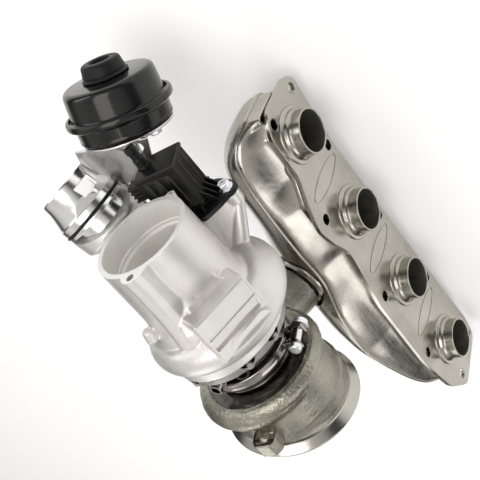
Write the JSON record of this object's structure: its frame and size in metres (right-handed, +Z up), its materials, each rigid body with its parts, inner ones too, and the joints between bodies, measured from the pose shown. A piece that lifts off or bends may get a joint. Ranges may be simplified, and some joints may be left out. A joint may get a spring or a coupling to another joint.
{
  "type": "turbocharger",
  "caption": "Turbocharger on a pressed-steel exhaust manifold: spiral compressor and turbine housings, spinning rotor, wastegate driven by a canister actuator, and a recirculation valve.",
  "frame": {"origin": "the middle of the flat face that bolts to the cylinder head, half way between the second and third port and level with their centres", "axes": "+X along the rotor towards the turbine outlet, +Y towards the cylinder head (the way the manifold flange faces), +Z up"},
  "size_m": [0.471, 0.1695, 0.2474],
  "materials": {
    "cast_alu": "as cast, fine sand texture",
    "turned_alu": "turned, bright",
    "cast_steel": "rough cast, heat tinted",
    "cast_iron": "as cast",
    "sheet_steel": "pressed stainless sheet, slightly warm",
    "bright_steel": "ground",
    "dark_steel": "dark polished",
    "zinc": "bright zinc plated",
    "black_paint": "satin black paint",
    "black_plastic": "moulded, satin",
    "rubber": "moulded",
    "brass": "machined"
  },
  "bodies": {
    "housing": {"head_flange": "sheet_steel", "port_sleeve_1": "sheet_steel", "port_sleeve_2": "sheet_steel", "port_sleeve_3": "sheet_steel", "port_sleeve_4": "sheet_steel", "manifold_rear_shell": "sheet_steel", "manifold_front_shell": "sheet_steel", "inner_runner_1": "sheet_steel", "inner_runner_2": "sheet_steel", "inner_runner_3": "sheet_steel", "inner_runner_4": "sheet_steel", "collector_collar": "sheet_steel", "turbine_housing": "cast_steel", "wastegate_bushing": "dark_steel", "bearing_housing": "cast_iron", "heat_shield": "sheet_steel", "compressor_backplate": "cast_alu", "v_band_clamp": "dark_steel", "clamp_bolt": "zinc", "clamp_nut": "zinc", "compressor_housing": "cast_alu", "outlet_adapter": "turned_alu", "adapter_oring": "rubber", "valve_body": "black_plastic", "valve_spring": "bright_steel", "valve_screw_1": "zinc", "valve_screw_2": "zinc", "actuator_cover": "black_paint", "actuator_base": "black_paint", "actuator_diaphragm": "rubber", "actuator_spring": "bright_steel", "actuator_vent_cap": "rubber", "actuator_bracket": "sheet_steel", "bracket_bolt": "zinc", "bracket_nut_1": "zinc", "bracket_nut_2": "zinc", "oil_feed_fitting": "zinc", "oil_drain_flange": "zinc"},
    "rotor": {"rotor_shaft": "bright_steel", "compressor_wheel": "turned_alu", "compressor_nut": "zinc", "thrust_collar": "bright_steel", "turbine_wheel": "cast_iron"},
    "floating_ring_front": {"journal_bearing_1": "brass"},
    "floating_ring_rear": {"journal_bearing_2": "brass"},
    "wastegate": {"wastegate_arm": "dark_steel", "wastegate_flap": "dark_steel", "wastegate_lever": "zinc", "lever_pin": "zinc"},
    "actuator_stem": {"actuator_rod": "zinc", "rod_locknut": "zinc", "actuator_piston": "bright_steel"},
    "recirculation_plunger": {"valve_plunger": "black_plastic"}
  },
  "joints": [
    {"name": "rotor_spin", "type": "hinge", "parent": "housing", "child": "rotor", "pos_m": [-0.047, -0.0536, 0.142], "axis": [1, 0, 0], "continuous": true},
    {"name": "front_ring_spin", "type": "hinge", "parent": "housing", "child": "floating_ring_front", "pos_m": [-0.07, -0.0536, 0.142], "axis": [1, 0, 0], "continuous": true},
    {"name": "rear_ring_spin", "type": "hinge", "parent": "housing", "child": "floating_ring_rear", "pos_m": [-0.045, -0.0536, 0.142], "axis": [1, 0, 0], "continuous": true},
    {"name": "wastegate_swing", "type": "hinge", "parent": "housing", "child": "wastegate", "pos_m": [-0.0005, -0.1236, 0.138], "axis": [0, -1, 0], "range_deg": [0, 26]},
    {"name": "rod_slide", "type": "slide", "parent": "housing", "child": "actuator_stem", "axis": [0.9499, -0.1354, 0.2818], "range_m": [0, 0.0122]},
    {"name": "recirculation_open", "type": "slide", "parent": "housing", "child": "recirculation_plunger", "axis": [-1, 0, 0], "range_m": [0, 0.006]}
  ],
  "couplings": [
    {"joint": "front_ring_spin", "follows": "rotor_spin", "ratio": 0.25},
    {"joint": "rear_ring_spin", "follows": "rotor_spin", "ratio": 0.25},
    {"joint": "rod_slide", "follows": "wastegate_swing", "m_per_rad": 0.02677}
  ]
}
